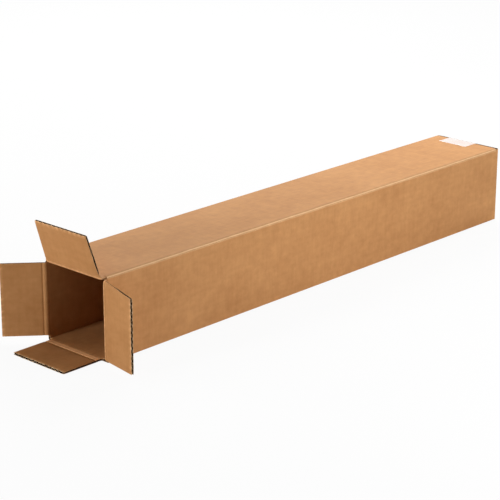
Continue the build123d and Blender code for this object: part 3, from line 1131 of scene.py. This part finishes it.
@dataclass
class SealingTape:
    """Clear film from the top panel, down over the taped end, to the bottom panel."""

    low: Vector = field(default_factory=lambda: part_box("sealing_tape")[0])
    high: Vector = field(default_factory=lambda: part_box("sealing_tape")[1])
    film: float = 0.06 * MM
    notch: float = 0.55 * MM
    notch_pitch: float = 1.7 * MM
    fall: float = 1.15 * MM  # from the panels down to where the film meets the upright flaps
    bend: float = 0.4 * MM
    slack: float = 0.02 * MM
    long_edge: float = 8 * MM  # longer edges are cut up
    cuts: int = 12
    tolerance: float = 0.01 * MM

    def path(self) -> list[Vector]:
        """Corners of the strip's line, seen from the front."""
        fold = SIZES.face - SIZES.inner_crease - SIZES.end_fold_radius * (2 - math.sqrt(2))
        start, face, top, bottom = self.low.x, self.high.x, self.high.z, self.low.z
        line = ((start, top), (fold, top), (face, top - self.fall),
                (face, self.fall), (fold, bottom), (start, bottom))
        return [Vector((x, 0, z)) for x, z in line]

    def build(self, material: bpy.types.Material) -> bpy.types.Object:
        """Make the strip, with cut teeth at both ends.

        Args:
            material: of the film.
        """
        bm = bmesh.new()
        chain = [bm.verts.new(place) for place in self.path()]
        for pair in zip(chain, chain[1:]):
            bm.edges.new(pair)
        bmesh.ops.bevel(bm, geom=chain[1:-1], affect="VERTICES", offset=self.bend, segments=4,
                        profile=0.5)
        long_edges = [edge for edge in bm.edges if edge.calc_length() > self.long_edge]
        bmesh.ops.subdivide_edges(bm, edges=long_edges, cuts=self.cuts)
        width = self.high.y - self.low.y
        columns = round(width / (self.notch_pitch / 2))
        for vert in bm.verts:
            vert.co.y = self.low.y
        bmesh.ops.spin(bm, geom=list(bm.edges), angle=0, steps=columns, dvec=(0, width / columns, 0),
                       axis=(0, 1, 0), cent=(0, 0, 0))
        bmesh.ops.remove_doubles(bm, verts=bm.verts, dist=self.tolerance)
        for vert in bm.verts:
            tooth = round((vert.co.y - self.low.y) / (width / columns)) % 2
            if abs(vert.co.x - self.low.x) < self.tolerance and tooth:
                vert.co.x += self.notch
            pucker = PUCKER.at(vert.co.y, vert.co.x + vert.co.z)
            if SIZES.inner_crease < vert.co.z < SIZES.side - 5 * MM:
                vert.co.x -= self.slack * (1 + pucker)
        bmesh.ops.recalc_face_normals(bm, faces=bm.faces)
        bmesh.ops.solidify(bm, geom=list(bm.faces), thickness=self.film)
        bmesh.ops.recalc_face_normals(bm, faces=bm.faces)
        for face in bm.faces:
            face.smooth = True
        piece = solid_piece("sealing_tape_film", bm, [material])
        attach(piece, CARTON_BODY)
        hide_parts("sealing_tape")
        return piece


@dataclass
class Lamp:
    """A square soft light that points at the carton."""

    name: str
    place: Triple
    width: float
    power: float
    target: Triple = (-0.05, 0.0, 0.05)

    def build(self) -> None:
        """Hang the lamp."""
        light = bpy.data.lights.new(self.name, "AREA")
        light.shape = "SQUARE"
        light.size = self.width
        light.energy = self.power
        lamp = placed(self.name, light)
        lamp.location = self.place
        lamp.rotation_mode = "QUATERNION"
        lamp.rotation_quaternion = (Vector(self.target) - Vector(self.place)).to_track_quat("-Z", "Y")


@dataclass
class Studio:
    """White floor, soft light and the photograph's camera."""

    focal_pixels: float = 1810.9
    camera_place: Triple = (-1.7173, -1.5284, 0.8108)
    right: Triple = (0.68344, -0.73000, 0.00229)
    up: Triple = (0.23205, 0.22023, 0.94744)
    forward: Triple = (0.69214, 0.64699, -0.31991)
    clip_end: float = 60
    world_strength: float = 0.06
    floor_half: float = 9.0
    floor_drop: float = 0.4 * MM
    floor_colour: Colour = (0.86, 0.86, 0.86, 1.0)
    floor_glow: float = 0.94
    lamps: list[Lamp] = field(default_factory=lambda: [
        Lamp("front_lamp", (0.03, -0.9, 0.26), 0.35, 3.9),
        Lamp("back_right_lamp", (1.2, 1.4, 1.6), 1.2, 40),
        Lamp("back_left_lamp", (-1.4, 2.0, 1.0), 1.0, 14.5),
        Lamp("mouth_lamp", (-2.4, 0.2, 0.5), 0.3, 22),
        Lamp("far_end_lamp", (0.9, 0.0, 0.9), 0.5, 5.8),
    ])

    def floor(self) -> None:
        """A wide white floor that keeps the carton's shadow."""
        bm = bmesh.new()
        bmesh.ops.create_grid(bm, x_segments=2, y_segments=2, size=self.floor_half)
        bmesh.ops.translate(bm, verts=bm.verts, vec=(0, 0, -self.floor_drop))
        material = bpy.data.materials.new("studio_floor")
        graph = Graph(material)
        paper = graph.node("ShaderNodeBsdfDiffuse", {}, {"Color": self.floor_colour})
        glow = graph.node("ShaderNodeEmission", {}, {"Color": WHITE, "Strength": 1.0})
        both = graph.node("ShaderNodeMixShader", {}, {
            0: self.seen(graph) * self.floor_glow, 1: paper, 2: glow})
        graph.node("ShaderNodeOutputMaterial", {}, {"Surface": both})
        floor = solid_piece("studio_floor", bm, [material])

    @staticmethod
    def seen(graph: Graph) -> Socket:
        """1 for rays from the camera, mirrors and clear film, otherwise 0."""
        path = [graph.node("ShaderNodeLightPath", {}, {}, name)
                for name in ("Is Camera Ray", "Is Glossy Ray", "Is Transmission Ray")]
        return (path[0] + path[1] + path[2]).clamped()

    def world(self) -> None:
        """Soft white light from all round, and plain white where the camera sees it."""
        world = bpy.data.worlds.new("studio")
        graph = Graph(world)
        strength = self.seen(graph) * (1 - self.world_strength) + self.world_strength
        sky = graph.node("ShaderNodeBackground", {}, {"Color": WHITE, "Strength": strength})
        graph.node("ShaderNodeOutputWorld", {}, {"Surface": sky})
        bpy.context.scene.world = world

    def camera(self) -> None:
        """The photograph's camera."""
        data = bpy.data.cameras.new("photo_camera")
        data.sensor_width = SENSOR_MM
        data.lens = self.focal_pixels / IMAGE_PIXELS * SENSOR_MM
        data.clip_end = self.clip_end
        camera = placed("photo_camera", data)
        backward = [-value for value in self.forward]
        turn = Matrix((self.right, self.up, backward)).transposed().to_4x4()
        camera.matrix_world = Matrix.Translation(self.camera_place) @ turn
        bpy.context.scene.camera = camera

    def build(self) -> None:
        """Set up the whole studio."""
        self.floor()
        self.world()
        self.camera()
        for lamp in self.lamps:
            lamp.build()
        bpy.context.scene.view_settings.view_transform = "Standard"


def finishes() -> list[bpy.types.Material]:
    """The board's materials, one for each Layer."""
    return [finish.build() for finish in (
        # The bared colours also give the painted highlights on folds and crease bands.
        KraftFinish("kraft_outer_facing", srgb(189, 132, 80), srgb(220, 163, 107),
                    srgb(255, 211, 160), seed=0.0),
        # Inner facing: darker kraft than the outer, darkened further as painted shade for the carton's
        # interior.
        KraftFinish("kraft_inner_facing", srgb(170, 116, 66), srgb(199, 144, 91),
                    srgb(250, 190, 132), seed=41.0),
        # Dark medium: painted shade of the unlit hollows between the flutes.
        KraftFinish("fluted_medium", srgb(46, 26, 14), srgb(78, 48, 27), srgb(104, 68, 40),
                    seed=83.0, roughness=0.9),
        KraftFinish("cut_paper_edge", srgb(176, 128, 84), srgb(236, 190, 140), srgb(255, 222, 178),
                    seed=127.0, roughness=0.9, cloud=1.4))]


def mouth_creases() -> dict[Panel, Crease]:
    """The four creases at the mouth, which the frame's joints turn on."""
    # Crease bands here: rubbed wear with a painted highlight on the bead.
    looks = {
        Panel.BOTTOM: CreaseLooks(groove_at=4.6 * MM, band=(-4.0 * MM, 3.9 * MM), rubbed=1.0),
        Panel.BACK: CreaseLooks(band=(-0.4 * MM, 2.6 * MM), rubbed=0.12),
    }
    joints = {joint["name"]: joint for joint in frame["joints"]}
    creases = {}
    for panel in Panel:
        joint = joints[panel.name.lower() + "_crease"]
        shut = math.radians(joint["range_deg"][0])
        creases[panel] = Crease(panel, joint["pos_m"][0], -1.0, -shut - math.pi / 2,
                                looks.get(panel, CreaseLooks()))
    return creases


def mouth_flaps(creases: dict[Panel, Crease]) -> list[MouthFlap]:
    """The four hinged flaps. The two beside the glued joint are tapered towards it.

    Args:
        creases: the fold line of each wall.
    """
    side = SIZES.side
    return [
        MouthFlap("top_flap", creases[Panel.TOP], 3 * side + 9.2 * MM, 4 * side - 10.5 * MM, 11.0,
                  base_low=3 * side + 11.8 * MM, base_high=4 * side - 4.2 * MM,
                  foot_high=3.2 * MM, edge_left=0.66),
        MouthFlap("bottom_flap", creases[Panel.BOTTOM], side + 12.5 * MM, 2 * side - 6.0 * MM, 23.0),
        MouthFlap("front_flap", creases[Panel.FRONT], 11.6 * MM, side - 4.2 * MM, 37.0,
                  base_low=4.2 * MM, base_high=side - 4.6 * MM, torn_low=0.9),
        MouthFlap("back_flap", creases[Panel.BACK], 2 * side + 8.0 * MM, 3 * side - 8.0 * MM, 53.0),
    ]


def taped_flaps() -> list[TapedFlap]:
    """The four flaps at the taped end: top and bottom inside, front and back outside."""
    inner, outer = SIZES.face - SIZES.inner_crease, SIZES.face
    level, upright = 6.5 * MM, 1.2 * MM  # width of the slots beside the inner and the outer flaps
    flaps = []
    for panel, length, slot, seed in (
            (Panel.TOP, inner, level, 61.0), (Panel.BOTTOM, inner, level, 67.0),
            (Panel.FRONT, outer, upright, 71.0), (Panel.BACK, outer, upright, 79.0)):
        crease = Crease(panel, length, 1.0, -math.pi / 2)
        flaps.append(TapedFlap(crease, SIZES.side - 2 * slot, seed))
    return flaps


def main() -> None:
    """Build the studio and the carton, piece by piece."""
    logging.basicConfig(level=logging.INFO, format="%(name)s: %(message)s")
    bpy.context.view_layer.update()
    Studio().build()
    materials = finishes()
    creases = mouth_creases()
    pieces = [flap.build(materials) for flap in mouth_flaps(creases)]

    body = joined("carton_board", CartonWalls(creases).boards(), materials)
    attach(body, CARTON_BODY)
    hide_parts("carton_body")

    taped_end = joined("taped_end_board", [flap.mesh() for flap in taped_flaps()], materials)
    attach(taped_end, CARTON_BODY)

    tape = SealingTape().build(TapeFinish().build())
    for piece in *pieces, body, taped_end, tape:
        log.info("%s: %d faces", piece.name, len(piece.data.polygons))


if __name__ == "__main__":
    main()
